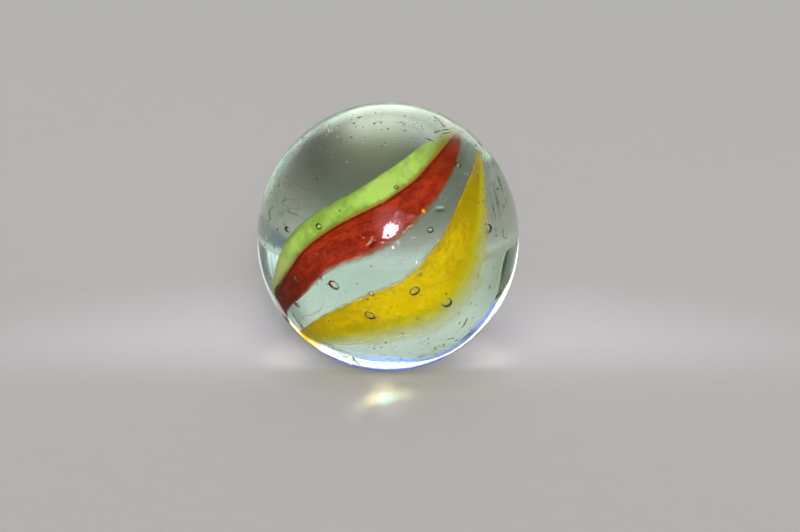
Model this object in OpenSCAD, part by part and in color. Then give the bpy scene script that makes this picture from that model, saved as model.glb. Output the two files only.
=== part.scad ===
/* [Glass ball] */
// Width of the ball from side to side
ball_w = 16; // [14:0.1:25]
// How much taller than wide the ball is, being a little out of round
extra_h = 0.45; // [0:0.05:0.8]

/* [Swirl] */
// Turn of the swirl's pole, from the ball's right-hand side towards its back
pole_turn = 10; // [-180:1:180]
// Rise of the swirl's pole above the level
pole_rise = 45; // [-90:1:90]
// Clear glass over the ribbons halfway between the poles
cover_middle = 1.75; // [1.3:0.05:2.4]
// Clear glass over the ribbons where they run out at the poles
cover_pole = 0.2; // [0.15:0.05:0.6]

/* [Ribbons] */
// Width of the red ribbon where it is broadest
red_w = 2.55; // [1:0.05:2.8]
// Width of the green ribbon where it is broadest
green_w = 1.6; // [0.8:0.05:2.4]
// Width of the yellow ribbon where it is broadest, with its thin side
yellow_w = 4.4; // [2:0.1:5.4]
// Thickness of the red and the green ribbon at the seam between them
pair_t = 0.9; // [0.4:0.05:1.4]
// Thickness of the yellow ribbon near its sharp side
yellow_t = 0.75; // [0.4:0.05:1.4]
// Thickness of each ribbon's thin edge
edge_t = 0.08; // [0.04:0.01:0.2]

/* [Bubbles] */
// Diameter of the largest air bubble
bubble_d = 0.64; // [0.2:0.02:0.7]

/* [Hidden] */

// Half sizes of the ball, and the radius that depths are taken from
radius = ball_w / 2;
half = [radius, radius, radius + extra_h / 2];

// Rows along a ribbon, each with a latitude between the swirl's poles, the turn
// round its axis of the ribbon's leading side, and shares of the full width
// and the full thickness.
// The red and the green ribbon share the side where they are fused.
red_rows = [
    [-79, -68, 0.33, 0.30],
    [-56, -45, 0.55, 0.70],
    [-33, -37, 0.72, 0.95],
    [-10, -28.5, 1.00, 1.00],
    [14, -19.5, 0.76, 1.00],
    [38, -18, 0.52, 0.85],
    [58, -25.5, 0.23, 0.55],
    [74, -42, 0.05, 0.25]
];
green_rows = [
    [-79, -68, 0.16, 0.30],
    [-56, -45, 0.61, 0.70],
    [-33, -37, 0.94, 0.95],
    [-10, -28.5, 0.94, 1.00],
    [14, -19.5, 1.00, 1.00],
    [38, -18, 0.81, 0.85],
    [58, -25.5, 0.38, 0.55],
    [74, -42, 0.15, 0.25]
];
yellow_rows = [
    [-79, -5.5, 0.19, 0.35],
    [-56, -3.5, 0.51, 0.70],
    [-33, 4, 0.80, 0.95],
    [-10, 13, 1.00, 1.00],
    [14, 15, 0.92, 1.00],
    [38, 10.5, 0.52, 0.80],
    [58, 4.5, 0.23, 0.50],
    [74, -2.5, 0.07, 0.25]
];

// Air bubbles: latitude, turn and share of the largest diameter
bubbles = [
    [-2.5, 37, 1.00],
    [-9, 20, 0.90],
    [-32, 15, 0.85],
    [-34, -10, 0.90],
    [36, 33, 0.85],
    [49, -5.5, 0.70],
    [-58, -22.5, 0.50],
    [-46.5, -31, 0.65],
    [-19, -35, 0.60],
    [-30.5, -51, 0.60],
    [18.5, -20, 0.40],
    [15.5, 5.5, 0.60],
    [-24, 6.5, 0.50]
];

// Share of a ribbon's swell that shows on its outer face
crown = 0.25;

// Fineness of the shapes
along_steps = 28;
pair_steps = 5;
yellow_steps = 7;
ball_fn = 120;
bubble_fn = 32;

// Axis of the swirl, with the front and the side that turns are counted from
axis = [cos(pole_rise) * cos(pole_turn), cos(pole_rise) * sin(pole_turn), sin(pole_rise)];
front = unit([0, -1, 0] + axis * axis.y);
side = cross(axis, front);

function unit(v) = v / norm(v);
function mix(a, b, share) = a + (b - a) * share;

// Direction from the ball's centre at a latitude and a turn round the axis
function direction(latitude, turn) =
    sin(latitude) * axis + cos(latitude) * (cos(turn) * front + sin(turn) * side);

// Point of the swirl that lies a depth below the ball's skin
function place(latitude, turn, depth) =
    let (d = direction(latitude, turn) * (1 - depth / radius))
    [d.x * half.x, d.y * half.y, d.z * half.z];

// Clear glass over the ribbons at a latitude
function cover(latitude) = mix(cover_middle, cover_pole, pow(sin(latitude), 2));

// Row between the rows of a table, on a smooth curve through all of them
function row_at(rows, u) =
    let (
        i = min(floor(u), len(rows) - 2),
        t = u - i,
        p = rows[max(i - 1, 0)],
        a = rows[i],
        b = rows[i + 1],
        q = rows[min(i + 2, len(rows) - 1)]
    )
    a + ((b - p) * t + (2 * p - 5 * a + 4 * b - q) * pow(t, 2) + (3 * a - p - 3 * b + q) * pow(t, 3)) / 2;

// Turn that a width in millimetres takes at a latitude
function width_turn(latitude, width) =
    width / ((radius - cover(latitude)) * cos(latitude)) * 180 / PI;

// Outer and inner point of a ribbon's section, with its thickness there
function section_pair(latitude, turn, full, t) =
    let (depth = cover(latitude) + (full - t) * crown)
    [place(latitude, turn, depth), place(latitude, turn, depth + t)];

// Section of a fused ribbon, from its seam to its thin edge, as pairs of points
function pair_section(row, width, way) =
    let (full = pair_t * row[3], span = width_turn(row[0], width * row[2]))
    [for (i = [0:pair_steps])
        let (angle = 90 * i / pair_steps)
        section_pair(row[0], row[1] + way * span * sin(angle), full, mix(edge_t, full, cos(angle)))];

// Section of the yellow ribbon, thick near its sharp side and thin at the other
function yellow_section(row) =
    let (full = yellow_t * row[3], span = width_turn(row[0], yellow_w * row[2]))
    [for (i = [0:yellow_steps])
        let (share = (1 - cos(180 * i / yellow_steps)) / 2, swell = 2.6 * sqrt(share) * (1 - share))
        section_pair(row[0], row[1] + span * share, full, mix(edge_t, full, swell))];

function reversed(list) = [for (i = [len(list) - 1:-1:0]) list[i]];
function rows_along(rows) =
    [for (i = [0:along_steps]) row_at(rows, i / along_steps * (len(rows) - 1))];

red_sections = [for (row = rows_along(red_rows)) pair_section(row, red_w, 1)];
green_sections = [for (row = rows_along(green_rows)) reversed(pair_section(row, green_w, -1))];
yellow_sections = [for (row = rows_along(yellow_rows)) yellow_section(row)];
// Both fused ribbons as one section, with the seam's points once
pair_sections = [for (i = [0:along_steps])
    concat(green_sections[i], [for (j = [1:pair_steps]) red_sections[i][j]])];

// Closed strip through a row of sections, each a list of outer and inner points
module strip(sections) {
    n = len(sections[0]);
    last = len(sections) - 1;
    function outer(i, j) = i * 2 * n + j;
    function inner(i, j) = i * 2 * n + n + j;
    faces = [
        for (i = [0:last - 1], j = [0:n - 2]) each [
            [outer(i, j), outer(i + 1, j), outer(i + 1, j + 1)],
            [outer(i, j), outer(i + 1, j + 1), outer(i, j + 1)],
            [inner(i, j), inner(i, j + 1), inner(i + 1, j + 1)],
            [inner(i, j), inner(i + 1, j + 1), inner(i + 1, j)]
        ],
        for (i = [0:last - 1]) each [
            [outer(i, 0), inner(i, 0), inner(i + 1, 0)],
            [outer(i, 0), inner(i + 1, 0), outer(i + 1, 0)],
            [outer(i, n - 1), outer(i + 1, n - 1), inner(i + 1, n - 1)],
            [outer(i, n - 1), inner(i + 1, n - 1), inner(i, n - 1)]
        ],
        for (j = [0:n - 2]) each [
            [outer(0, j), outer(0, j + 1), inner(0, j + 1)],
            [outer(0, j), inner(0, j + 1), inner(0, j)],
            [outer(last, j), inner(last, j + 1), outer(last, j + 1)],
            [outer(last, j), inner(last, j), inner(last, j + 1)]
        ]
    ];
    polyhedron([for (s = sections) each concat([for (p = s) p[0]], [for (p = s) p[1]])], faces);
}

// Air bubble halfway between the skin and the depth of the ribbons
module bubble(latitude, turn, share) {
    translate(place(latitude, turn, cover(latitude) / 2))
        sphere(d = bubble_d * share, $fn = bubble_fn);
}

// Clear glass, with the ribbons' seats and the bubbles left out of it
module ball() {
    color("lightcyan", 0.4) difference() {
        scale(half) sphere(1, $fn = ball_fn);
        strip(pair_sections);
        strip(yellow_sections);
        for (b = bubbles) bubble(b[0], b[1], b[2]);
    }
}

module green_ribbon() {
    color([0.62, 0.84, 0.33]) strip(green_sections);
}

module red_ribbon() {
    color([0.62, 0.13, 0.06]) strip(red_sections);
}

module yellow_ribbon() {
    color([0.89, 0.77, 0.02]) strip(yellow_sections);
}

ball();
green_ribbon();
red_ribbon();
yellow_ribbon();
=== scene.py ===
import math

import bpy
from mathutils import Matrix, Vector, kdtree, noise


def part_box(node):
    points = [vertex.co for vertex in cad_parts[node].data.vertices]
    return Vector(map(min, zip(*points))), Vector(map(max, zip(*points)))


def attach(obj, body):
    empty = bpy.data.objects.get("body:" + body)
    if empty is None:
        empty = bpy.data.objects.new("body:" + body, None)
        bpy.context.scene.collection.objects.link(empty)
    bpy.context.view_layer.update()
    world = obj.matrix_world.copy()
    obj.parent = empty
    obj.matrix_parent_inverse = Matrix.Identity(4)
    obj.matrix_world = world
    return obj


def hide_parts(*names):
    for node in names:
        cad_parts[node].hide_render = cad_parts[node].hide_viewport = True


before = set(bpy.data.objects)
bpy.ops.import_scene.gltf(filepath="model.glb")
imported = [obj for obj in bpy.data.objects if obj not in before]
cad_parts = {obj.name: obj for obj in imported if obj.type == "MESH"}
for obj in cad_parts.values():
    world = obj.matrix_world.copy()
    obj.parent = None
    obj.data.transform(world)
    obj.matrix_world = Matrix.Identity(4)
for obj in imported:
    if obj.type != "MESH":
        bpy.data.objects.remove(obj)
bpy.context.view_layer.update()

mm = 0.001
ballLow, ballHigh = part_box("ball")
halfBall = (ballHigh - ballLow) / 2
radius = 8 * mm
print("frame loaded, ball", [round(v * 2000, 2) for v in halfBall], "mm")


def clearSelection():
    if bpy.context.object and bpy.context.object.mode == "EDIT":
        bpy.ops.object.mode_set(mode="OBJECT")
    bpy.ops.object.select_all(action="DESELECT")


def pick(piece):
    clearSelection()
    piece.select_set(True)
    bpy.context.view_layer.objects.active = piece


def applyModifiers(piece):
    pick(piece)
    for modifier in list(piece.modifiers):
        bpy.ops.object.modifier_apply(modifier=modifier.name)


def lerp(a, b, share):
    return a + (b - a) * share


class Wire:
    # one output of a node, with the sums that the finishes use
    def __init__(self, tree, socket=None):
        self.tree = tree
        self.socket = socket

    def node(self, kind, settings=None, inputs=None, output=0):
        made = self.tree.nodes.new("ShaderNode" + kind)
        for name, value in (settings or {}).items():
            setattr(made, name, value)
        for name, value in (inputs or {}).items():
            if isinstance(value, Wire):
                self.tree.links.new(value.socket, made.inputs[name])
            else:
                made.inputs[name].default_value = value
        return Wire(self.tree, made.outputs[output]) if made.outputs else None

    def maths(self, operation, *others):
        inputs = {i: value for i, value in enumerate((self,) + others)}
        return self.node("Math", {"operation": operation}, inputs)

    def __add__(self, other):
        return self.maths("ADD", other)

    def __radd__(self, other):
        return self.maths("ADD", other)

    def __sub__(self, other):
        return self.maths("SUBTRACT", other)

    def __rsub__(self, other):
        return self.node("Math", {"operation": "SUBTRACT"}, {0: other, 1: self})

    def __mul__(self, other):
        return self.maths("MULTIPLY", other)

    def __rmul__(self, other):
        return self.maths("MULTIPLY", other)

    # 0 below low, 1 above high and a soft step between them
    def step(self, low, high):
        inputs = {"Value": self, "From Min": low, "From Max": high}
        return self.node("MapRange", {"interpolation_type": "SMOOTHSTEP"}, inputs)

    # 1 near a value and 0 past the reach on both sides
    def near(self, value, reach):
        return 1 - (self - value).maths("ABSOLUTE").step(0, reach)

    # the first colour where this is 0, the second where it is 1
    def between(self, first, second):
        inputs = {"Factor": self, 6: first, 7: second}
        return self.node("Mix", {"data_type": "RGBA"}, inputs, 2)

    def part(self, letter):
        return self.node("SeparateXYZ", {}, {"Vector": self}, letter)

    def noise(self, scale, detail=2, rough=0.5, stretch=(1, 1, 1), twist=0):
        vector = self.node("Mapping", {}, {"Vector": self, "Scale": stretch})
        inputs = {"Vector": vector, "Scale": scale, "Detail": detail, "Roughness": rough, "Distortion": twist}
        return self.node("TexNoise", {}, inputs, "Fac")

    def cells(self, scale, output="Distance", stretch=(1, 1, 1)):
        vector = self.node("Mapping", {}, {"Vector": self, "Scale": stretch})
        return self.node("TexVoronoi", {}, {"Vector": vector, "Scale": scale}, output)

    def farFrom(self, place):
        return self.node("VectorMath", {"operation": "DISTANCE"}, {0: self, 1: place}, "Value")

    def along(self, direction):
        return self.node("VectorMath", {"operation": "DOT_PRODUCT"}, {0: self, 1: direction}, "Value")


def colour(red, green, blue):
    # a colour as it looks on a screen, turned into the shader's own scale
    parts = []
    for value in (red, green, blue):
        share = value / 255
        parts.append(share / 12.92 if share <= 0.04045 else ((share + 0.055) / 1.055) ** 2.4)
    return (*parts, 1)


def newFinish(name):
    material = bpy.data.materials.new(name)
    material.use_nodes = True
    material.node_tree.nodes.clear()
    return material, Wire(material.node_tree)


def dress(piece, material, slot, *replaced):
    piece.data.materials.clear()
    piece.data.materials.append(material)
    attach(piece, "root")
    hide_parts(*replaced)


# the swirl that the ribbons and the bubbles follow
swirl = {
    "poleTurn": 10,
    "poleRise": 45,
    "coverMiddle": 1.75 * mm,
    "coverPole": 0.2 * mm,
}
poleTurn, poleRise = math.radians(swirl["poleTurn"]), math.radians(swirl["poleRise"])
axis = Vector((
    math.cos(poleRise) * math.cos(poleTurn),
    math.cos(poleRise) * math.sin(poleTurn),
    math.sin(poleRise),
))
front = (Vector((0, -1, 0)) + axis * axis.y).normalized()
side = axis.cross(front)


def coverAt(latitude):
    return lerp(swirl["coverMiddle"], swirl["coverPole"], math.sin(math.radians(latitude)) ** 2)


def placeAt(latitude, turn, depth):
    lat, way = math.radians(latitude), math.radians(turn)
    ray = axis * math.sin(lat) + (front * math.cos(way) + side * math.sin(way)) * math.cos(lat)
    ray *= 1 - depth / radius
    return Vector((ray.x * halfBall.x, ray.y * halfBall.y, ray.z * halfBall.z))


def swirlOf(point):
    ray = Vector((point.x / halfBall.x, point.y / halfBall.y, point.z / halfBall.z))
    far = ray.length
    lat = math.degrees(math.asin(max(-1, min(1, ray.dot(axis) / far))))
    return lat, math.degrees(math.atan2(ray.dot(side), ray.dot(front))), (1 - far) * radius


camera = {
    "rise": 10,
    "distance": 204 * mm,
    "sensor": 36,
    "lens": 150.09,
    "aimRight": 0.734 * mm,
    "aimUp": -1.804 * mm,
    "nearest": 0.01,
    "farthest": 20,
}
cameraRise = math.radians(camera["rise"])
looks = Vector((0, math.cos(cameraRise), -math.sin(cameraRise)))
right = Vector((1, 0, 0))
up = right.cross(looks)


def addCamera():
    bpy.ops.object.camera_add(location=-looks * camera["distance"])
    lens = bpy.context.object
    lens.name = "studio_camera"
    aim = right * camera["aimRight"] + up * camera["aimUp"]
    lens.rotation_euler = (aim - lens.location).to_track_quat("-Z", "Y").to_euler()
    lens.data.sensor_width = camera["sensor"]
    lens.data.lens = camera["lens"]
    lens.data.clip_start = camera["nearest"]
    lens.data.clip_end = camera["farthest"]
    bpy.context.scene.camera = lens


studio = {
    "floorSize": 1.6,
    "floorRoughness": 0.75,
    "floorGloss": 0.2,
    "floorColour": colour(179, 180, 175),
    "floorGrain": colour(159, 160, 155),
    # the next eight colours paint light and shade on the table, some only as the glass or the skin shows it
    "floorPaintedThrownLight": colour(194, 195, 195),
    "floorPaintedFootLight": colour(218, 218, 214),
    "floorPaintedShadeUnderBall": colour(158, 157, 145),
    "paintedShadowInGlass": colour(136, 137, 124),
    "paintedLightPoolInGlass": colour(192, 190, 156),
    "deepPaintedShadowInGlass": colour(110, 112, 98),
    "slatePaintedShadeInGlass": colour(78, 92, 100),
    "floorPaintedShadeInSkin": colour(70, 70, 68),
    # strength and colours of a painted glow on the table that only the skin mirrors
    "skylightInSkin": 2.4,
    "skylightWarm": colour(255, 196, 20),
    "skylightBlue": (0.0049, 0.003, 0.375, 1),
    "skylightDark": (0.0019, 0.0016, 0.008, 1),
    "wall": colour(184, 180, 178),
    "wallInSkin": (0.88, 1.0, 0.9, 1),
    "lowInGlass": colour(194, 208, 199),
    "dimInGlass": colour(162, 168, 152),
    "highInGlass": colour(208, 216, 208),
    "ceilingInGlass": 2.4,
    "rimInGlass": 6.0,
    "lightInGlass": 0.75,
    "roomLight": 0.32,
}


def tableWithPaintedLight(where, far):
    # fine grain, with painted light: paler where the ball throws light back behind it and close behind its
    # foot, and painted shade under its front
    x, y = where.part("X"), where.part("Y")
    grain = where.noise(6, 2, 0.5) * 0.5 + where.noise(900, 3, 0.6) * 0.25
    base = grain.between(studio["floorColour"], studio["floorGrain"])
    # painted light: the table is paler behind the ball, where it throws light back
    paintedThrownLight = (1 - far.step(11 * mm, 36 * mm)) * y.step(-7 * mm, 11 * mm)
    base = paintedThrownLight.between(base, studio["floorPaintedThrownLight"])
    # painted light: a paler band close behind the ball's foot
    middle = 1 - x.maths("ABSOLUTE").step(5.5 * mm, 9 * mm)
    foot = far.near(8 * mm, 5.5 * mm) * y.step(-2 * mm, 4 * mm) * middle
    base = foot.between(base, studio["floorPaintedFootLight"])
    # painted shade: the table is darker under the ball's front, where it touches
    paintedContactShade = (1 - far.step(3.8 * mm, 9 * mm)) * (1 - y.step(-1.5 * mm, 1 * mm))
    return paintedContactShade.between(base, studio["floorPaintedShadeUnderBall"])


def tableInGlassWithPaintedShadow(through, where, far, base):
    # the table as the glass shows it, with a painted shadow of the ball near it, a painted patch of light and
    # a deeper painted shadow in that, painted shade at the sides and along one side, and pale far off
    x, y = where.part("X"), where.part("Y")
    # painted shadow of the ball, as the glass shows the table, and painted shade at its sides
    paintedShadeBeside = x.maths("ABSOLUTE").step(8 * mm, 30 * mm) * (1 - far.step(70 * mm, 180 * mm)) * 0.8
    shade = (1 - far.step(22 * mm, 56 * mm)).maths("MAXIMUM", paintedShadeBeside)
    # a deeper painted shadow off to one side behind the ball
    deepPaintedShadow = x.near(7.5 * mm, 6.5 * mm) * (1 - y.step(27 * mm, 38 * mm))
    shaded = deepPaintedShadow.between(studio["paintedShadowInGlass"], studio["deepPaintedShadowInGlass"])
    # painted light: a paler patch in the shadow just behind the ball, where the ball focuses light
    paintedLightPool = x.near(1 * mm, 4.4 * mm) * (1 - y.step(15 * mm, 25 * mm))
    shaded = paintedLightPool.between(shaded, studio["paintedLightPoolInGlass"])
    base = (through * shade).between(base, shaded)
    distant = x.step(-120 * mm, -20 * mm).between(studio["dimInGlass"], studio["lowInGlass"])
    base = (through * far.step(45 * mm, 110 * mm)).between(base, distant)
    # painted shade: a dark strip at one side of the table, seen only through the glass
    slate = x.step(24 * mm, 36 * mm) * (1 - far.step(90 * mm, 160 * mm))
    return (through * slate * 0.9).between(base, studio["slatePaintedShadeInGlass"])


def paintedSkylightGlow(mirrored, where):
    # painted glow: the table's emission stands in for skylight that the ball gathers round its foot, which
    # only its lower rim mirrors
    x, y = where.part("X"), where.part("Y")
    spread = x.maths("ABSOLUTE")
    inner = (spread - 1.8 * mm).maths("MAXIMUM", 0) * 0.88 - x.near(-5.8 * mm, 2.5 * mm) * 1.3 * mm
    glow = (y - inner).step(-2.95 * mm, -2.25 * mm) * (1 - y.step(34 * mm, 48 * mm))
    within = 1 - (spread - y * 0.2).step(10.4 * mm, 11.6 * mm)
    sides = within * (0.4 + x.step(-8.6 * mm, -7.2 * mm) * 0.6)
    glow = glow * sides * (1 - x.near(-8.6 * mm, 1 * mm) * (1 - y.step(9 * mm, 13 * mm)))
    # the painted glow is white, warm at the left, with an edge that is blue in the middle and dark at both
    # ends
    outside = spread.step(3.4 * mm, 4.6 * mm)
    edge = (y - x * x * 128 - outside * 0.7 * mm).step(-2.2 * mm, -1.95 * mm) * (1 - y.step(11 * mm, 15 * mm))
    warm = x.step(-8.5 * mm, -7 * mm) * (1 - x.step(-5.6 * mm, -4.6 * mm))
    tone = warm.between((1, 1, 1, 1), studio["skylightWarm"])
    fringe = outside.between(studio["skylightBlue"], studio["skylightDark"])
    return (mirrored * glow).between((0, 0, 0, 1), edge.between(tone, fringe))


def addFloor():
    clearSelection()
    bpy.ops.mesh.primitive_plane_add(size=studio["floorSize"], location=(0, 0, ballLow.z))
    floor = bpy.context.object
    floor.name = "studio_floor"
    bpy.ops.object.transform_apply(location=True, rotation=True, scale=True)
    material, w = newFinish("pale table")
    where = w.node("TexCoord", output="Object")
    far = where.farFrom((0, 0, ballLow.z))
    through = w.node("LightPath", output="Is Transmission Ray")
    mirrored = w.node("LightPath", output="Is Glossy Ray") * (1 - through)
    base = tableInGlassWithPaintedShadow(through, where, far, tableWithPaintedLight(where, far))
    # painted shade: the skin mirrors the table in front of the ball darker
    ahead = 1 - where.part("Y").step(6 * mm, 40 * mm)
    base = (mirrored * ahead).between(base, studio["floorPaintedShadeInSkin"])
    surface = w.node("BsdfPrincipled", {}, {
        "Base Color": base,
        "Roughness": studio["floorRoughness"],
        "Specular IOR Level": studio["floorGloss"],
        "Emission Color": paintedSkylightGlow(mirrored, where),
        "Emission Strength": studio["skylightInSkin"],
    })
    w.node("OutputMaterial", {}, {"Surface": surface})
    material.cycles.emission_sampling = "NONE"
    floor.data.materials.append(material)


# the room that the ball shows upside down
room = {
    "door": colour(112, 122, 118),
    "panel": (1.05, 1.22, 1.3, 1),
    "slate": colour(56, 70, 86),
    "standRim": colour(188, 198, 176),
    "standFarSide": colour(122, 134, 130),
    "standNearSide": colour(106, 112, 98),
    "standDark": colour(26, 26, 20),
    "standDarkest": colour(10, 10, 8),
    "beyondStand": (0.95, 1.05, 0.92, 1),
    "fringeRight": (0.2, 0.4, 0.95, 1),
    "fringeLeft": (0.09, 0.15, 1, 1),
    "fringeEnd": (0.05, 0.08, 0.38, 1),
    "olive": colour(96, 84, 28),
    "rimLine": colour(40, 30, 255),
    "yellowLight": colour(255, 196, 0),
}


def wallsInGlass(way, rise, turn):
    # turn is 0 behind the ball and grows to the right, rise is 0 on the level, both in degrees
    streak = way.node("CombineXYZ", {}, {"X": turn * 0.4, "Y": rise * 0.03}).noise(1, 3, 0.7)
    wall = rise.step(-1, 22).between(studio["lowInGlass"], studio["highInGlass"])
    door = turn.step(29, 47) * (1 - turn.step(76, 84)) * (1 - rise.step(22, 34)) * 0.8
    wall = door.between(wall, room["door"])
    panel = turn.step(43, 47) * (1 - turn.step(57, 61)) * rise.near(-1, 22)
    wall = (panel * streak.step(0.25, 0.6)).between(wall, room["panel"])
    slate = turn.step(60, 67) * (1 - turn.step(73, 79)) * (1 - rise.step(6, 20))
    wall = slate.between(wall, room["slate"])
    dim = (1 - turn.step(-50, -25)) * (1 - rise.step(6, 30))
    wall = dim.between(wall, studio["dimInGlass"])
    # a dark stand between two bent lines, with a bright strip beyond it
    under = (6 - rise).maths("MAXIMUM", 0)
    over = (rise - 6).maths("MAXIMUM", 0)
    nearLine = turn + 51.8 + under * under * 0.08 + over * over * 0.024
    farLine = turn + 71.5 - over * 0.22
    wall = nearLine.near(1.2, 1.4).between(wall, room["standRim"])
    stand = (1 - nearLine.step(-0.6, 0.2)) * (1 - rise.step(20, 23)) * farLine.step(-3, 1)
    shade = turn.step(-70, -60).between(room["standFarSide"], room["standNearSide"])
    dark = nearLine.step(-6, -3) * (0.6 + rise.near(4, 8) * 0.4)
    shade = dark.between(shade, room["standDark"])
    shade = (nearLine.step(-12, -7) * rise.near(19.5, 3.5)).between(shade, room["standDarkest"])
    beyond = (1 - farLine.step(-4, -1)) * turn.step(-90, -84) * rise.near(13, 14)
    wall = beyond.between(wall, room["beyondStand"])
    return stand.between(wall, shade)


def roomInGlass(w, way, rise, turn):
    # ahead is 1 straight away from the camera and 0 square to that, angle runs round it from the right
    ahead = way.along(looks)
    angle = way.along(up).maths("ARCTAN2", way.along(right)) * (180 / math.pi)
    wall = wallsInGlass(way, rise, turn)
    # the edge of the skylight round the rim, a little ragged
    edge = 0.28 + angle.step(40, 68) * 0.17 - angle.step(92, 118) * 0.3
    edge = edge + angle.step(124, 150) * 0.18 - angle.step(155, 168) * 0.3
    ragged = angle.node("CombineXYZ", {}, {"X": angle * 0.11, "Y": ahead * 4}).noise(1, 3, 0.7) - 0.5
    edge = edge + ragged * 0.06
    # a violet fringe inside the skylight, and an olive one at its right
    inside = ahead - edge.maths("MAXIMUM", 0.23 + angle.near(137, 16) * 0.08)
    fringe = inside.step(-0.03, 0.01) * (1 - inside.step(0.08, 0.2))
    fringe = fringe * angle.step(66, 84) * (1 - angle.step(147, 153))
    fringe = fringe * (0.7 + (ragged + 0.1).step(-0.1, 0.3) * 0.25)
    violet = angle.step(92, 114).between(room["fringeRight"], room["fringeLeft"])
    violet = angle.step(143, 152).between(violet, room["fringeEnd"])
    wall = fringe.between(wall, violet)
    olive = inside.near(0.07, 0.06) * angle.near(55, 12)
    wall = (olive * 0.9).between(wall, room["olive"])
    # the skylight itself, brighter towards the rim
    ceiling = (edge - ahead).step(-0.01, 0.015) * ahead.step(-0.2, -0.12)
    ceiling = ceiling * angle.step(34, 38) * (1 - angle.step(156, 164))
    rim = 1 - ahead.step(0.1, 0.34)
    firstPass = w.node("LightPath", output="Ray Depth").maths("LESS_THAN", 2.5)
    edgeLine = (1 - ahead.step(0.13, 0.22)) * firstPass
    light = edgeLine.between((1, 1, 1, 1), room["rimLine"])
    yellow = angle.step(38, 42) * (1 - angle.step(55, 60)) * ahead.step(0.17, 0.27)
    light = (yellow * (1 - edgeLine)).between(light, room["yellowLight"])
    picture = ceiling.between(wall, light)
    strength = studio["ceilingInGlass"] - 1 + rim * (studio["rimInGlass"] - studio["ceilingInGlass"])
    strength = 1 + ceiling * strength + fringe * (1 - ceiling)
    return picture, strength


def lightRoom():
    world = bpy.data.worlds.new("studio_room")
    bpy.context.scene.world = world
    world.use_nodes = True
    world.node_tree.nodes.clear()
    w = Wire(world.node_tree)
    way = w.node("TexCoord", output="Generated")
    rise = way.part("Z").maths("ARCSINE") * (180 / math.pi)
    turn = way.part("X").maths("ARCTAN2", way.part("Y")) * (180 / math.pi)
    picture, pictureStrength = roomInGlass(w, way, rise, turn)
    # the camera sees a plain wall, the glass sees the room, its skin mirrors what stands
    # behind the ball, and all else gets a plain soft light
    eye = w.node("LightPath", output="Is Camera Ray")
    through = w.node("LightPath", output="Is Transmission Ray")
    mirrored = w.node("LightPath", output="Is Glossy Ray") * (1 - through)
    direct = w.node("LightPath", output="Diffuse Depth").maths("LESS_THAN", 0.5)
    across = way.part("X")
    behind = way.part("Y").step(-0.1, 0.5) * across.step(-0.5, -0.2) * (1 - across.step(0.4, 0.52))
    low = way.part("Y").step(0.2, 0.7) * (0.35 - (1 - across.step(-0.4, -0.1)) * rise.step(-5, 10) * 0.25)
    mirror = 0.04 + low + behind * (rise.step(5, 40) * 2.4 + rise.step(40, 55) * 2.3)
    strength = eye + through * direct * pictureStrength + through * (1 - direct) * studio["lightInGlass"]
    strength = strength + mirrored * mirror + (1 - eye) * (1 - through) * (1 - mirrored) * studio["roomLight"]
    shown = (through * direct).between((1, 1, 1, 1), picture)
    shown = eye.between(shown, studio["wall"])
    shown = mirrored.between(shown, studio["wallInSkin"])
    light = w.node("Background", {}, {"Color": shown, "Strength": strength})
    w.node("OutputWorld", {}, {"Surface": light})


# the lamps' distance in metres, the gleams' rise in degrees and distance in millimetres
lamps = {
    "distance": 8,
    "gleamRise": 16,
    "gleamDistance": 60,
}


def lampPlace(turn, rise, distance):
    # turn 0 is behind the ball, as seen from the camera, and grows to the right
    lat, way = math.radians(rise), math.radians(turn)
    return Vector((math.sin(way) * math.cos(lat), math.cos(way) * math.cos(lat), math.sin(lat))) * distance


def addLamp(name, turn, rise, spread, watts, tint=(1, 1, 1), mirrored=True, flat=1, tilt=0):
    # spread is half the lamp's angle, seen from the ball; a flat lamp is long in the tilt's direction
    distance = lamps["distance"]
    place = lampPlace(turn, rise, distance)
    bpy.ops.object.light_add(type="AREA", location=place)
    lamp = bpy.context.object
    lamp.name = name
    out = place.normalized()
    long = right * math.cos(math.radians(tilt)) + Vector((0, 0, math.sin(math.radians(tilt))))
    wide = out.cross(long).normalized()
    lamp.rotation_euler = Matrix((wide.cross(out), wide, out)).transposed().to_euler()
    lamp.data.shape = "ELLIPSE"
    lamp.data.size = 2 * distance * math.tan(math.radians(spread))
    lamp.data.size_y = lamp.data.size * flat
    lamp.data.energy = watts
    lamp.data.color = tint
    lamp.visible_camera = False
    lamp.visible_glossy = mirrored
    lamp.visible_transmission = False


def addGleam(x, y, width, watts, tint):
    # a small pool of light on the table in front of the ball, where it focuses the skylight
    place = Vector((x, y, ballLow.z / mm)) * mm
    rise = math.radians(lamps["gleamRise"])
    away = Vector((0, -math.cos(rise), math.sin(rise))) * lamps["gleamDistance"] * mm
    bpy.ops.object.light_add(type="SPOT", location=place + away)
    lamp = bpy.context.object
    lamp.name = "gleam"
    lamp.data.spot_size = 2 * math.atan(width / 2 / lamps["gleamDistance"])
    lamp.data.spot_blend = 1
    lamp.data.shadow_soft_size = 0
    lamp.data.energy = watts
    lamp.data.color = tint
    lamp.rotation_euler = away.to_track_quat("Z", "Y").to_euler()
    lamp.visible_glossy = False
    lamp.visible_transmission = False


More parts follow.
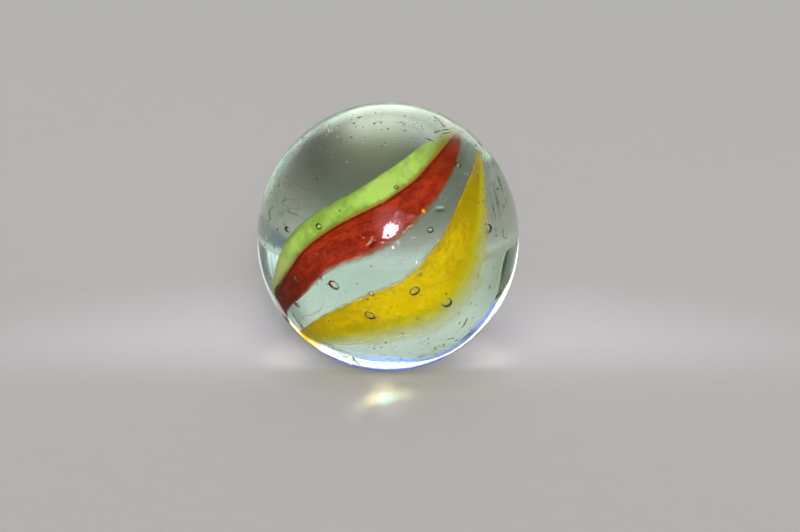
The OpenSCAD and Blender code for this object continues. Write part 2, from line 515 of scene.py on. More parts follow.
addCamera()
addFloor()
lightRoom()
addLamp("softbox", 180, 30, 12, 520, mirrored=False)
addLamp("flash", 177.6, 13.5, 2.0, 180, flat=0.8, tilt=55)
addLamp("flash_dot", 176, -0.1, 0.8, 11)
halos = [
    # turn, rise, half the angle, watts and tint
    (177.6, 13.6, 4.1, 44, (0.5, 0.08, 1.0)), (177.8, 14.2, 6.0, 16, (0.8, 0.2, 1.0)),
    (178.4, 15.6, 8.5, 18, (1.0, 0.35, 0.5)), (178.8, 17.2, 10.5, 28, (1.0, 0.36, 0.4)),
    (179.2, 19.0, 12.5, 32, (1.0, 0.4, 0.42)), (179.5, 21.0, 14.5, 32, (1.0, 0.42, 0.42)),
]
for turn, rise, spread, watts, tint in halos:
    addLamp("flash_halo", turn, rise, spread, watts, tint)
rays = [
    # turn and rise of the middle, half length and half width in degrees, tilt, watts and tint
    (177.4, 13.5, 9.8, 0.8, 37, 150, (1, 0.93, 1)), (177.6, 14.8, 7.0, 0.75, 93, 95, (0.95, 0.8, 1)),
    (177.9, 13.4, 6.6, 0.65, 3, 75, (0.9, 0.75, 1)), (177.4, 14.0, 7.2, 0.75, 66, 95, (0.9, 0.8, 1)),
    (177.8, 13.2, 5.6, 0.6, -30, 50, (1, 0.75, 1)), (178.2, 14.6, 6.2, 0.6, 121, 55, (1, 0.8, 0.95)),
    (177.2, 13.2, 7.2, 0.6, 19, 60, (1, 0.85, 1)),
]
for turn, rise, halfLength, halfWidth, tilt, watts, tint in rays:
    addLamp("flash_ray", turn, rise, halfLength, watts, tint, flat=halfWidth / halfLength, tilt=tilt)
gleams = [
    # place on the table and width in millimetres, watts and tint
    (-0.15, -8.2, 4.0, 0.06, (1, 0.97, 0.6)), (-0.3, -7.4, 2.6, 0.12, (1, 0.9, 0.5)),
    (-0.25, -6.2, 1.9, 0.22, (1, 0.80, 0.42)), (-0.15, -6.3, 1.0, 0.14, (1, 0.82, 0.4)),
    (-0.1, -8.3, 1.4, 0.22, (0.3, 1, 0.7)), (-0.2, -8.5, 0.9, 0.34, (0.2, 1, 0.95)),
    (-0.7, -8.4, 1.3, 0.36, (1, 0.97, 0.4)), (-1.1, -9.1, 1.2, 0.2, (1, 0.95, 0.4)),
    (-1.5, -10.2, 1.4, 0.12, (1, 1, 0.55)), (-2.0, -12.0, 1.8, 0.06, (1, 1, 0.65)),
    (0.4, -7.7, 1.2, 0.24, (0.4, 1, 0.65)), (0.9, -7.2, 1.3, 0.2, (0.85, 1, 0.4)),
    (1.4, -7.6, 1.4, 0.08, (0.9, 1, 0.5)), (0.1, -10.4, 2.4, 0.05, (0.5, 0.9, 1)),
]
for x, y, width, watts, tint in gleams:
    addGleam(x, y, width, watts, tint)
print("camera, floor and lights are set")

ball = {
    "fineness": 7,
    "markCuts": 3,
    "waveHeight": 0.004 * mm,
    "bubbleSize": 0.64 * mm,
    "bubbleFineness": 4,
    "seedFineness": 3,
    "highestRidge": 0.01 * mm,
    "dirtyDepth": 0.04 * mm,
}

# latitude, turn, share of the largest size, length over width, angle of the length, flatness
bubbles = [
    (-2.5, 37, 1.00, 1.30, 10, 0.35),
    (-9, 20, 0.90, 1.30, 80, 0.8),
    (-32, 15, 0.85, 1.45, 15, 0.8),
    (-34, -10, 0.90, 1.45, 10, 0.8),
    (36, 33, 0.85, 1.20, 40, 0.3),
    (49, -5.5, 0.70, 1.30, 30, 0.9),
    (-58, -22.5, 0.50, 1.60, 20, 0.8),
    (-46.5, -31, 0.65, 1.30, 5, 0.8),
    (-19, -35, 0.60, 1.25, 10, 0.8),
    (-30.5, -51, 0.60, 1.80, 5, 0.7),
    (18.5, -20, 0.40, 1.15, 60, 0.9),
    (15.5, 5.5, 0.60, 1.15, 45, 0.9),
    (-24, 6.5, 0.50, 1.20, 10, 0.8),
]
# latitude, turn, size in millimetres
seeds = [
    (-1.8, 15.7, 0.22), (45.6, -13.5, 0.17), (-27, 34.8, 0.12), (-7.2, -31.6, 0.13), (31, 13.5, 0.12),
    (18, 16, 0.12), (23.5, 49.5, 0.12), (56.5, 32.5, 0.13), (-2, -2, 0.12), (-60, 12.5, 0.12),
    (42, 19, 0.12), (53, 17.5, 0.11), (-16, 13, 0.12), (0.6, -22, 0.11), (-15, -3, 0.10),
    (-32, -3, 0.10),
]

# nicks and scratches in the skin: azimuth and rise of both ends, width and depth in millimetres,
# where a depth below 0 is a ridge
nicks = [
    (-38, 68.5, -36, 69.5, 0.16, 0.06), (-36.5, 64, -35.5, 64, 0.15, 0.05),
    (-0.5, 61, 0.5, 61, 0.14, 0.05), (-54, 53, -53.5, 53, 0.15, 0.05), (-18, 55, -17.5, 55, 0.10, 0.03),
    (0, 49, 0.5, 49, 0.09, 0.03), (-55, 47, -54.7, 47, 0.10, 0.03), (-55, 44, -54.7, 43, 0.10, 0.03),
    (-46, 29, -45.5, 28, 0.10, 0.03), (-63, 60, -60, 58.5, 0.10, 0.04),
    (-56, 58, -53, 56.5, 0.10, 0.05), (-52, 58.5, -50, 57, 0.09, 0.04),
    (-55, 56, -52, 54.5, 0.08, 0.03), (-21.2, 28, -20.7, 28, 0.10, 0.03),
    (-55, 17, -55, 14, 0.10, 0.03), (-52, 11.5, -52, 10.8, 0.11, 0.04),
    (-43.2, 34, -42.8, 34, 0.09, 0.02), (-33.2, 36, -32.8, 36, 0.08, 0.02),
    (14, 66, 14.8, 66, 0.11, 0.03), (66, 67, 57, 59.5, 0.22, 0.07), (72, 66, 60, 58, 0.12, -0.04),
    (40, 57, 58, 57.5, 0.10, 0.05), (48, 55.5, 57, 55.5, 0.09, 0.04), (29, 54, 33, 52, 0.10, 0.04),
    (65, 25, 65.4, 24.6, 0.13, 0.05), (70, 24, 70.3, 23.8, 0.13, 0.05),
    (55, 30, 55.3, 29.8, 0.11, 0.04), (57, 24, 58, 13, 0.08, 0.02), (61, 22, 60, 14, 0.07, 0.02),
    (-42.2, -21, -41.8, -21, 0.09, 0.03), (-37.2, -20, -36.8, -20, 0.09, 0.03),
    (-29.2, -26, -28.7, -26, 0.10, 0.03), (-46, -37, -45.6, -37, 0.09, 0.03),
    (-38, -39.7, -36, -40.3, 0.11, 0.04), (-55, -29, -54, -38, 0.10, 0.04),
    (-51.5, -31, -53, -37, 0.08, 0.03), (-27, -54, -28, -63, 0.12, 0.04),
    (-33, -66, -27, -68, 0.20, 0.08), (15.2, -4, 17, -2, 0.09, 0.02),
    (2.6, -15.2, 3.6, -14.8, 0.10, 0.03), (26, -37, 26.4, -37, 0.09, 0.02),
    (53, -8.0, 53.4, -8.3, 0.09, 0.02), (43, -34, 43, -30, 0.10, 0.05),
    (52.5, -38, 53.5, -38, 0.12, 0.04), (53, -40, 54, -40.5, 0.12, 0.04),
    (49, -48, 49.5, -48, 0.12, 0.04), (36, -41, 41, -41, 0.08, 0.03), (30, -45, 38, -46, 0.08, 0.02),
    (61.5, -21.5, 62, -23, 0.18, 0.07), (78, -1, 79, -3.5, 0.25, 0.07), (81, 44, 82, 46, 0.22, 0.06),
    (120, 20, 124, 17, 0.12, 0.04), (150, 34, 151, 34, 0.13, 0.05), (-150, -12, -146, -14, 0.12, 0.04),
    (-120, 40, -119, 41, 0.13, 0.05), (172, -5, 172.6, -5, 0.12, 0.04),
    (-170, 48, -165, 47, 0.10, 0.04),
]
# small round cracks: azimuth and rise, radius and width in millimetres, depth, middle of the arc
moons = [
    (-64, 14.5, 0.36, 0.12, 0.025, 180), (-67, 12, 0.25, 0.10, 0.03, 20),
    (62, 6, 0.30, 0.10, 0.03, 200), (135, 8, 0.35, 0.12, 0.03, 90), (-110, -8, 0.30, 0.10, 0.03, 300),
]
# worn patches on the skin: azimuth, rise, reach in millimetres and strength
wornPatches = [
    (-55, 57, 1.2, 1.0), (-64, 36, 2.2, 0.8), (-66, 13, 1.7, 0.9), (-20, 63, 2.4, 0.6),
    (22, 62, 2.2, 0.6), (56, 57, 1.1, 0.9), (58, 20, 2.4, 0.9), (62, 42, 2.0, 0.6), (50, -40, 2.0, 0.9),
    (25, -50, 2.4, 0.8), (-8, -52, 2.6, 0.6), (-50, -36, 1.2, 0.6), (120, 25, 2.5, 0.7),
    (165, -20, 2.2, 0.6), (-140, 30, 2.6, 0.7), (-115, -25, 2.0, 0.6), (180, 62, 2.2, 0.5),
]


def onSkin(azimuth, rise):
    # a direction from the ball's middle, with azimuth 0 at its front and growing to the right
    way, lift = math.radians(azimuth), math.radians(rise)
    ray = Vector((math.sin(way) * math.cos(lift), -math.cos(way) * math.cos(lift), math.sin(lift)))
    return ray * radius


def addBubble(latitude, turn, size, stretch, lie, flat, fineness):
    # an air bubble halfway between the skin and the ribbons' depth, its faces turned inwards
    place = placeAt(latitude, turn, coverAt(latitude) / 2)
    out = place.normalized()
    along = axis.cross(out).normalized()
    rises = out.cross(along)
    long = along * math.cos(math.radians(lie)) + rises * math.sin(math.radians(lie))
    wide = out.cross(long)
    clearSelection()
    bpy.ops.mesh.primitive_ico_sphere_add(subdivisions=fineness, radius=size / 2)
    bubble = bpy.context.object
    scale = Matrix.Diagonal((stretch ** 0.6, stretch ** -0.4, flat, 1))
    turned = Matrix((long, wide, out)).transposed().to_4x4()
    bubble.data.transform(Matrix.Translation(place) @ turned @ scale)
    bpy.ops.object.mode_set(mode="EDIT")
    bpy.ops.mesh.select_all(action="SELECT")
    bpy.ops.mesh.flip_normals()
    bpy.ops.object.mode_set(mode="OBJECT")
    return bubble


def finer(skin, places):
    # finer faces where the marks are
    bpy.ops.object.mode_set(mode="EDIT")
    bpy.ops.mesh.select_mode(type="FACE")
    bpy.ops.mesh.select_all(action="DESELECT")
    bpy.ops.object.mode_set(mode="OBJECT")
    tree = kdtree.KDTree(len(skin.data.polygons))
    for face in skin.data.polygons:
        tree.insert(face.center.normalized() * radius, face.index)
    tree.balance()
    for middle, reach in places:
        for _, index, _ in tree.find_range(middle, reach):
            skin.data.polygons[index].select = True
    bpy.ops.object.mode_set(mode="EDIT")
    bpy.ops.mesh.subdivide(number_cuts=ball["markCuts"])
    bpy.ops.object.mode_set(mode="OBJECT")


def nickDent(point, first, last, width, depth):
    # depth at a point, by its distance from the nick's middle line
    line = last - first
    share = min(max((point - first).dot(line) / max(line.length_squared, 1e-12), 0), 1)
    off = (point - first - line * share).length / (width * mm / 2)
    return depth * mm * (1 - off * off) ** 2 if off < 1 else 0


def moonDent(point, middle, moonRadius, width, depth, arc):
    # depth at a point, by its distance from the crack's circle, fading out at the ends of its arc
    out = middle.normalized()
    level = Vector((0, 0, 1)).cross(out).normalized()
    flat = point - middle
    x, y = flat.dot(level), flat.dot(out.cross(level))
    off = abs(math.hypot(x, y) / mm - moonRadius) / (width / 2)
    turned = abs((math.degrees(math.atan2(y, x)) - arc + 180) % 360 - 180)
    fade = min(max((130 - turned) / 50, 0), 1)
    return depth * mm * (1 - off * off) ** 2 * fade if off < 1 else 0


def markSkin(skin):
    # finer faces round the nicks and cracks, then the depth of the marks at each vertex
    lines = [(onSkin(a, b), onSkin(c, d), width, depth) for a, b, c, d, width, depth in nicks]
    rounds = [(onSkin(a, b), *rest) for a, b, *rest in moons]
    places = []
    for first, last, width, _ in lines:
        places.append(((first + last) / 2, (last - first).length / 2 + (width * 0.6 + 0.08) * mm))
    for middle, moonRadius, *_ in rounds:
        places.append((middle, (moonRadius + 0.1) * mm))
    finer(skin, places)
    tree = kdtree.KDTree(len(skin.data.vertices))
    for vertex in skin.data.vertices:
        vertex.co.normalize()
        tree.insert(vertex.co * radius, vertex.index)
    tree.balance()
    dents = {}
    for first, last, width, depth in lines:
        for spot, index, _ in tree.find_range((first + last) / 2, (last - first).length / 2 + width * mm):
            dents[index] = dents.get(index, 0) + nickDent(spot, first, last, width, depth)
    for middle, moonRadius, *rest in rounds:
        for spot, index, _ in tree.find_range(middle, (moonRadius + 0.2) * mm):
            dents[index] = dents.get(index, 0) + moonDent(spot, middle, moonRadius, *rest)
    return dents


def makeBall():
    clearSelection()
    bpy.ops.mesh.primitive_ico_sphere_add(subdivisions=ball["fineness"], radius=1)
    skin = bpy.context.object
    skin.name = "marble_glass"
    dents = markSkin(skin)
    bpy.ops.object.mode_set(mode="EDIT")
    bpy.ops.mesh.select_all(action="SELECT")
    bpy.ops.transform.resize(value=tuple(halfBall))
    bpy.ops.object.mode_set(mode="OBJECT")
    stain = skin.data.attributes.new("nicked", "FLOAT", "POINT")
    for vertex, value in zip(skin.data.vertices, stain.data):
        out = vertex.co.normalized()
        wave = noise.noise(vertex.co * 260) + 0.5 * noise.noise(vertex.co * 620 + Vector((3, 1, 7)))
        dent = dents.get(vertex.index, 0)
        vertex.co -= out * (ball["waveHeight"] * (0.8 + wave) * 0.6 + max(dent, -ball["highestRidge"]))
        value.value = min(max(dent / ball["dirtyDepth"], 0), 1)
    parts = []
    for lat, turn, share, stretch, lie, flat in bubbles:
        size = ball["bubbleSize"] * share
        parts.append(addBubble(lat, turn, size, stretch, lie, flat, ball["bubbleFineness"]))
    for lat, turn, size in seeds:
        parts.append(addBubble(lat, turn, size * mm, 1.2, 20, 0.9, ball["seedFineness"]))
    pick(skin)
    for part in parts:
        part.select_set(True)
    bpy.ops.object.join()
    bpy.ops.object.shade_smooth()
    return skin


glass = {
    "bend": 1.52,
    "tint": (0.80, 0.965, 0.86, 1),
    "tintDensity": 60.0,
    "markDepth": 0.02 * mm,
    "dirtyGlass": colour(70, 62, 50),
    "crustDark": colour(30, 26, 20),
    "crustPale": colour(116, 120, 116),
    "crustRoughness": 0.8,
}


def clearGlass():
    material, w = newFinish("clear marble glass")
    where = w.node("TexCoord", output="Object")
    nicked = w.node("Attribute", {"attribute_name": "nicked"}, output="Fac")
    worn = where.noise(300, 2, 0.6).step(0.52, 0.7) * 0.35
    for azimuth, rise, reach, strength in wornPatches:
        far = where.farFrom(onSkin(azimuth, rise))
        worn = worn.maths("MAXIMUM", (1 - far.step(reach * 0.15 * mm, reach * mm)) * strength)
    peel = where.noise(420, 3, 0.5) * 0.9 + where.noise(1500, 2, 0.5) * 0.2
    # round pits, none at the very back, and upright cuts
    chosen = where.cells(1700, "Color").part("X")
    pits = (1 - where.cells(1700).step(0.07, 0.2)) * (chosen + worn * 0.5).step(0.80, 0.84)
    pits = pits * (1 - where.part("Y").step(5 * mm, 6.5 * mm))
    upright = (1, 1, 0.3)
    chosen = where.cells(2800, "Color", upright).part("X")
    cuts = 1 - where.cells(2800, "Distance", upright).step(0.08, 0.24)
    cuts = cuts * (chosen + worn * 0.6).step(0.9, 0.95)
    # thin scratches, and flow lines low on the ball
    scratch = where.noise(1500, 2, 0.55, (1, 1, 1), 0.6).near(0.5, 0.012)
    scratch = scratch * where.noise(500, 1).step(0.45, 0.6)
    flow = where.noise(1100, 3, 0.6, (0.2, 0.2, 2.6)).near(0.5, 0.03)
    flow = flow * where.noise(700, 1).step(0.45, 0.6)
    flow = flow * (1 - where.part("Z").step(-7 * mm, -3.5 * mm))
    grit = where.noise(5200, 3, 0.65)
    scuffed = (worn - 0.34).maths("MAXIMUM", 0)
    marks = (pits + cuts) * 0.8 + (scratch * (0.25 + worn) + flow * 0.5) * 0.4
    marks = marks + grit * (scuffed * 0.6 + 0.012)
    height = peel * 0.2 - marks
    bump = w.node("Bump", {}, {"Strength": 1.0, "Distance": glass["markDepth"], "Height": height})
    dirt = pits * 0.7 + cuts * 0.6 + nicked * 0.55 + scratch * (0.1 + worn) * 0.5 + flow * 0.15
    dirt = dirt.maths("MINIMUM", 0.85)
    clear = w.node("BsdfPrincipled", {}, {
        "Base Color": dirt.between((1, 1, 1, 1), glass["dirtyGlass"]),
        "Roughness": scuffed * grit * 0.2 + nicked * 0.25,
        "IOR": glass["bend"],
        "Transmission Weight": 1.0,
        "Normal": bump,
    })
    # dry dirt that sits in the marks, in short lines that run round the ball's front
    ring = where.along(looks) * 1800
    lines = w.node("CombineXYZ", {}, {"X": ring, "Y": where.part("X") * 160, "Z": where.part("Z") * 160})
    rubs = lines.noise(1, 3, 0.6).near(0.5, 0.045) * where.noise(420, 2).step(0.45, 0.6)
    rubs = rubs * (0.04 + scuffed * 1.6)
    specks = where.noise(3600, 2, 0.7).step(0.7, 0.76) * (0.3 + scuffed * 1.5)
    grime = (pits * 0.5 + cuts * 0.45 + rubs * 0.7 + specks * 0.6 + nicked * 0.2).maths("MINIMUM", 0.8)
    crustColour = where.noise(500, 1).step(0.45, 0.55).between(glass["crustDark"], glass["crustPale"])
    crust = w.node("BsdfPrincipled", {}, {"Base Color": crustColour, "Roughness": glass["crustRoughness"]})
    surface = w.node("MixShader", {}, {0: grime, 1: clear, 2: crust})
    tint = w.node("VolumeAbsorption", {}, {"Color": glass["tint"], "Density": glass["tintDensity"]})
    w.node("OutputMaterial", {}, {"Surface": surface, "Volume": tint})
    return material


glassBall = makeBall()
dress(glassBall, clearGlass(), "clear_glass", "ball")
print("ball made,", len(glassBall.data.polygons), "faces")


# radius, widths and endsFadeFrom are in millimetres, and the widths are laid out on that radius
ribbons = {
    "radius": 6.25,
    "redWidth": 2.55,
    "greenWidth": 1.6,
    "yellowWidth": 4.4,
    "drift": 0.045 * mm,
    "driftSeed": 4,
    "weld": 0.0005 * mm,
    "sharpEdge": math.radians(50),
    "endsFadeFrom": 6.9,
    "roughness": 0.4,
    "gloss": 0.03,
    "grainDepth": 0.04 * mm,
}
# latitude, turn of the leading side, share of the full width
redRows = [
    (-79, -68, 0.33), (-56, -45, 0.55), (-33, -37, 0.72), (-10, -28.5, 1.00),
    (14, -19.5, 0.76), (38, -18, 0.52), (58, -25.5, 0.23), (74, -42, 0.05),
]
greenRows = [
    (-79, -68, 0.16), (-56, -45, 0.61), (-33, -37, 0.94), (-10, -28.5, 0.94),
    (14, -19.5, 1.00), (38, -18, 0.81), (58, -25.5, 0.38), (74, -42, 0.15),
]
yellowRows = [
    (-79, -5.5, 0.19), (-56, -3.5, 0.51), (-33, 4, 0.80), (-10, 13, 1.00),
    (14, 15, 0.92), (38, 10.5, 0.52), (58, 4.5, 0.23), (74, -2.5, 0.07),
]


def rowAt(rows, latitude):
    # turn of the leading side and width at a latitude, on a smooth curve through the rows
    i = 0
    while i < len(rows) - 2 and rows[i + 1][0] < latitude:
        i += 1
    a, b = rows[i], rows[i + 1]
    before, after = rows[max(i - 1, 0)], rows[min(i + 2, len(rows) - 1)]
    t = (latitude - a[0]) / (b[0] - a[0])
    values = []
    for k in (1, 2):
        p, q, r, s = before[k], a[k], b[k], after[k]
        values.append(q + ((r - p) * t + (2 * p - 5 * q + 4 * r - s) * t ** 2
                           + (3 * q - p - 3 * r + s) * t ** 3) / 2)
    return values


def roundRibbon(piece):
    pick(piece)
    bpy.ops.object.mode_set(mode="EDIT")
    bpy.ops.mesh.select_all(action="SELECT")
    bpy.ops.mesh.remove_doubles(threshold=ribbons["weld"])
    bpy.ops.mesh.tris_convert_to_quads()
    bpy.ops.mesh.select_all(action="DESELECT")
    bpy.ops.mesh.edges_select_sharp(sharpness=ribbons["sharpEdge"])
    bpy.ops.transform.edge_crease(value=1)
    bpy.ops.object.mode_set(mode="OBJECT")
    rounder = piece.modifiers.new("rounder", "SUBSURF")
    rounder.levels = rounder.render_levels = 2
    applyModifiers(piece)
    bpy.ops.object.shade_smooth_by_angle(angle=ribbons["sharpEdge"])


def copyRibbon(node, name, rows, width, way, *spills):
    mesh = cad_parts[node].data.copy()
    piece = bpy.data.objects.new(name, mesh)
    bpy.context.scene.collection.objects.link(piece)
    roundRibbon(piece)
    # without a seed, noise_vector shifts its pattern by the clock
    noise.seed_set(ribbons["driftSeed"])
    for vertex in piece.data.vertices:
        drift = noise.noise_vector(vertex.co * 700) + noise.noise_vector(vertex.co * 1800) * 0.4
        vertex.co += drift * ribbons["drift"]
    follow = piece.data.attributes.new("swirl", "FLOAT_VECTOR", "POINT")
    for vertex, value in zip(piece.data.vertices, follow.data):
        latitude, turn, depth = swirlOf(vertex.co)
        start, share = rowAt(rows, latitude)
        ring = math.cos(math.radians(latitude))
        reach = (turn - start) * way * math.radians(1) * ribbons["radius"] * ring
        share = reach / (width * max(share, 0.04))
        length = math.radians(latitude) * ribbons["radius"]
        value.vector = (share, length, reach)
        # near some places the glass has run a little wider, at the leading or at the other side
        for middle, spread, lead, trail in spills:
            near = max(1 - (abs(length - middle) / spread) ** 2, 0)
            wider = lerp(lead, trail, min(max(share, 0), 1)) * near
            turn += way * math.degrees(wider / (ribbons["radius"] * ring))
        vertex.co = placeAt(latitude, turn, depth)
    return piece


def dressRibbon(piece, finish, slot, node, solidTo, solidFrom=-9):
    # the second finish fades out, on the faces near the thin side and the two ends
    solid, faded = finish(False), finish(True)
    dress(piece, solid, slot, node)
    piece.data.materials.append(faded)
    follow = piece.data.attributes["swirl"].data
    for face in piece.data.polygons:
        shares = [follow[i].vector for i in face.vertices]
        thin = max(v[0] for v in shares) > solidTo or min(v[0] for v in shares) < solidFrom
        if thin or max(abs(v[1]) for v in shares) > ribbons["endsFadeFrom"]:
            face.material_index = 1


def ribbonSurface(w, base, grain, alpha):
    bump = w.node("Bump", {}, {"Strength": 0.5, "Distance": ribbons["grainDepth"], "Height": grain})
    # only outer faces show, so that a thin side has no dark inside
    outer = 1 - w.node("NewGeometry", output="Backfacing")
    surface = w.node("BsdfPrincipled", {}, {
        "Base Color": base,
        "Roughness": ribbons["roughness"],
        "Specular IOR Level": ribbons["gloss"],
        "IOR": glass["bend"],
        "Normal": bump,
        "Alpha": outer if alpha is None else alpha * outer,
    })
    w.node("OutputMaterial", {}, {"Surface": surface})


def swirlWires(w):
    # all three as one vector, then the share of the width, and the place along and across in millimetres
    along = w.node("Attribute", {"attribute_name": "swirl"}, output="Vector")
    return along, along.part("X"), along.part("Y"), along.part("Z")


greenTones = {
    "deep": colour(148, 188, 68),
    "bright": colour(202, 246, 112),
    "streak": colour(196, 232, 132),
    "upperEnd": colour(128, 146, 40),
    "lowerEnd": colour(222, 238, 146),
    "ripple": colour(214, 240, 160),
    "thinSide": colour(120, 140, 60),
    "seam": colour(142, 140, 50),
    "seamLine": colour(196, 128, 26),
    "stain": colour(78, 36, 16),
}


def greenGlass(faded):
    material, w = newFinish("lime green glass, thin side" if faded else "lime green glass")
    vector, share, length, reach = swirlWires(w)
    cloud = vector.noise(0.9, 3, 0.55, (0, 1, 1), 0.3)
    streak = vector.noise(2.2, 4, 0.6, (0, 0.35, 2.2))
    bright = length.near(2.2, 4.2) * 0.55 + share.near(0.45, 0.5) * 0.45 + (cloud - 0.5) * 2.0
    body = bright.step(0.1, 0.95).between(greenTones["deep"], greenTones["bright"])
    body = (streak.step(0.48, 0.72) * 0.35).between(body, greenTones["streak"])
    body = (length.step(3.9, 5.6) * 0.85).between(body, greenTones["upperEnd"])
    body = ((1 - length.step(-6.0, -3.4)) * 0.8).between(body, greenTones["lowerEnd"])
    ripple = (length - reach * 0.5).near(2.9, 0.22) * share.near(0.45, 0.45)
    body = (ripple * 0.5).between(body, greenTones["ripple"])
    body = (share.step(0.78, 1.0) * 0.5).between(body, greenTones["thinSide"])
    body = (reach + (cloud - 0.5) * 0.3).near(0.02, 0.26).between(body, greenTones["seam"])
    body = (reach + (streak - 0.5) * 0.16).near(0.03, 0.085).between(body, greenTones["seamLine"])
    stripes = vector.noise(2.6, 3, 0.6, (0, 0.3, 3.4))
    stained = (1 - length.step(-6.4, -4.9)) * (1 - (reach + (stripes - 0.5) * 1.2).step(0.12, 0.34))
    body = (stained * 0.85).between(body, greenTones["stain"])
    alpha = None
    if faded:
        alpha = (1 - (share + (streak - 0.5) * 0.2).step(0.84, 1.02)) * (1 - length.step(6.9, 8.0))
    ribbonSurface(w, body, streak, alpha)
    return material


redTones = {
    "deep": colour(138, 28, 0),
    "bright": colour(190, 56, 16),
    "paleStreak": colour(204, 80, 36),
    "darkStreak": colour(96, 14, 0),
    "paleSpeckle": colour(206, 92, 50),
    "darkSpeckle": colour(92, 12, 0),
    "vein": colour(88, 14, 2),
    "seam": colour(108, 30, 0),
    "thinSide": colour(160, 100, 40),
    "lowerEnd": colour(96, 32, 14),
    "upperPart": colour(130, 42, 8),
    "upperEnd": colour(124, 66, 48),
    "paintedGlint": colour(255, 190, 30),
    "dashShade": colour(80, 10, 4),
    "dashHighlight": colour(250, 176, 120),
}
# painted highlights: short pale strokes in the red, each with a painted shadow beside it: place along it,
# share of the width, half length and slope
paintedHighlightDashes = [(-0.95, 0.65, 0.36, -0.1), (-0.72, 0.60, 0.1, 0), (1.25, 0.87, 0.3, 0.12)]


def redGlass(faded):
    material, w = newFinish("brick red glass, thin side" if faded else "brick red glass")
    vector, share, length, reach = swirlWires(w)
    cloud = vector.noise(1.5, 4, 0.6, (0, 0.7, 1.5), 0.4)
    streak = vector.noise(3.2, 5, 0.65, (0, 0.4, 2.4), 0.2)
    speckle = vector.noise(8.0, 4, 0.7, (0, 0.8, 1.2), 0.6)
    body = cloud.step(0.32, 0.68).between(redTones["deep"], redTones["bright"])
    body = (streak.step(0.52, 0.7) * 0.4).between(body, redTones["paleStreak"])
    body = ((1 - streak.step(0.3, 0.45)) * 0.6).between(body, redTones["darkStreak"])
    body = (speckle.step(0.54, 0.7) * 0.5).between(body, redTones["paleSpeckle"])
    body = ((1 - speckle.step(0.3, 0.44)) * 0.5).between(body, redTones["darkSpeckle"])
    body = (cloud.near(0.5, 0.02) * 0.35).between(body, redTones["vein"])
    body = (reach.near(0.08, 0.14) * 0.65).between(body, redTones["seam"])
    body = ((share + (streak - 0.5) * 0.2).step(0.76, 0.92) * 0.85).between(body, redTones["thinSide"])
    body = ((1 - length.step(-6.4, -3.6)) * 0.6).between(body, redTones["lowerEnd"])
    body = (length.step(3.4, 5.2) * 0.5).between(body, redTones["upperPart"])
    body = (length.step(6.0, 7.4) * 0.6).between(body, redTones["upperEnd"])
    # painted highlight: a small bright orange spot on the red
    paintedGlint = length.near(2.35, 0.16) * share.near(0.83, 0.10)
    body = paintedGlint.step(0.15, 0.5).between(body, redTones["paintedGlint"])
    for place, across, halfLength, slope in paintedHighlightDashes:
        off = share - across - (length - place) * slope
        dashHighlight = length.near(place, halfLength) * off.near(0, 0.035)
        # a painted shadow beside each stroke, then the painted highlight itself
        shade = length.near(place, halfLength * 1.3) * off.near(0.07, 0.08) * 0.8
        body = shade.between(body, redTones["dashShade"])
        body = (dashHighlight.step(0.15, 0.5) * 0.85).between(body, redTones["dashHighlight"])
    alpha = None
    if faded:
        alpha = (1 - (share + (streak - 0.5) * 0.2).step(0.78, 1.0)) * (1 - length.step(7.0, 8.0) * 0.7)
    ribbonSurface(w, body, speckle, alpha)
    return material


yellowTones = {
    "deep": colour(192, 166, 0),
    "bright": colour(255, 226, 0),
    "streak": colour(240, 216, 20),
    "speckle": colour(172, 144, 0),
    "sharpSide": colour(172, 146, 8),
    "lowerEnd": colour(232, 210, 0),
    "upperEnd": colour(178, 162, 0),
    "haze": colour(222, 220, 10),
}


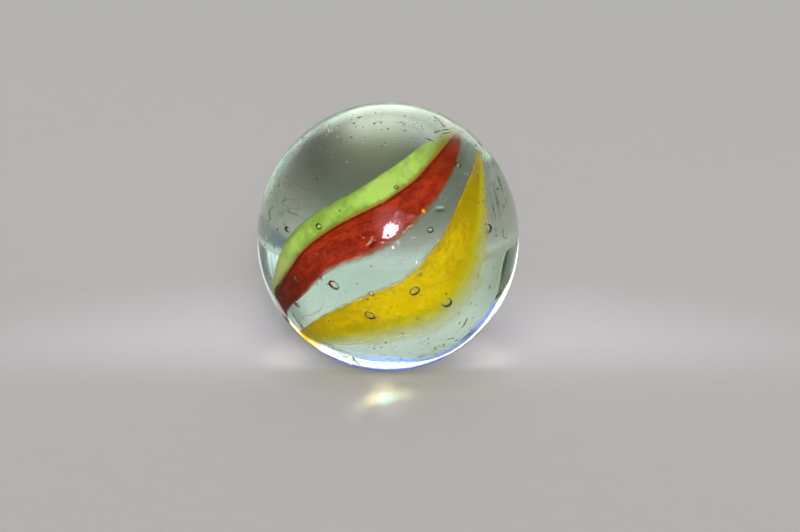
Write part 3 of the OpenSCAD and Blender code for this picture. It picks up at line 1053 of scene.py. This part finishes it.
def yellowGlass(faded):
    material, w = newFinish("egg yellow glass, thin side" if faded else "egg yellow glass")
    vector, share, length, reach = swirlWires(w)
    cloud = vector.noise(0.8, 4, 0.6, (0, 0.8, 1.3), 0.5)
    streak = vector.noise(2.4, 5, 0.62, (0, 0.5, 2.0), 0.3)
    speckle = vector.noise(5.0, 3, 0.6, (0, 0.9, 1.1), 0.4)
    bright = length.near(-1.2, 5.2) * 0.7 + share.near(0.33, 0.4) * 0.3 + (cloud - 0.5) * 1.5
    body = bright.step(0.05, 0.95).between(yellowTones["deep"], yellowTones["bright"])
    body = (streak.step(0.5, 0.75) * 0.35).between(body, yellowTones["streak"])
    body = ((1 - speckle.step(0.3, 0.48)) * 0.4).between(body, yellowTones["speckle"])
    body = (reach.near(0.0, 0.34) * 0.6).between(body, yellowTones["sharpSide"])
    body = ((1 - length.step(-6.8, -3.8)) * 0.6).between(body, yellowTones["lowerEnd"])
    body = (length.step(3.4, 5.4) * 0.7).between(body, yellowTones["upperEnd"])
    body = (share.step(0.4, 0.6) * 0.85).between(body, yellowTones["haze"])
    alpha = None
    if faded:
        wave = share + (streak - 0.5) * 0.16 + (cloud - 0.5) * 0.12
        alpha = 1 - wave.step(0.5, 0.95) * 0.72 - wave.step(0.84, 1.02) * 0.28
        alpha = alpha * (share + (streak - 0.5) * 0.06).step(-0.01, 0.055)
        alpha = alpha * (1 - length.step(7.0, 8.0) * 0.7)
    ribbonSurface(w, body, streak, alpha)
    return material


# the last brackets hold a place along the ribbon, a reach, and how much wider each side is there
greenBand = copyRibbon("green_ribbon", "green_band", greenRows, ribbons["greenWidth"], -1, (7, 3, 0, 0.05))
dressRibbon(greenBand, greenGlass, "green_glass", "green_ribbon", 0.8)
redBand = copyRibbon("red_ribbon", "red_band", redRows, ribbons["redWidth"], 1,
                     (7, 3, 0, 0.25), (0, 8, 0, 0.2))
dressRibbon(redBand, redGlass, "red_glass", "red_ribbon", 0.66)
yellowBand = copyRibbon("yellow_ribbon", "yellow_band", yellowRows, ribbons["yellowWidth"], 1,
                        (2.6, 3.6, -0.2, 0), (-0.5, 6.5, 0, 0.65))
dressRibbon(yellowBand, yellowGlass, "yellow_glass", "yellow_ribbon", 0.36, 0.06)
print("ribbons made")

bpy.context.scene.view_settings.view_transform = "Standard"
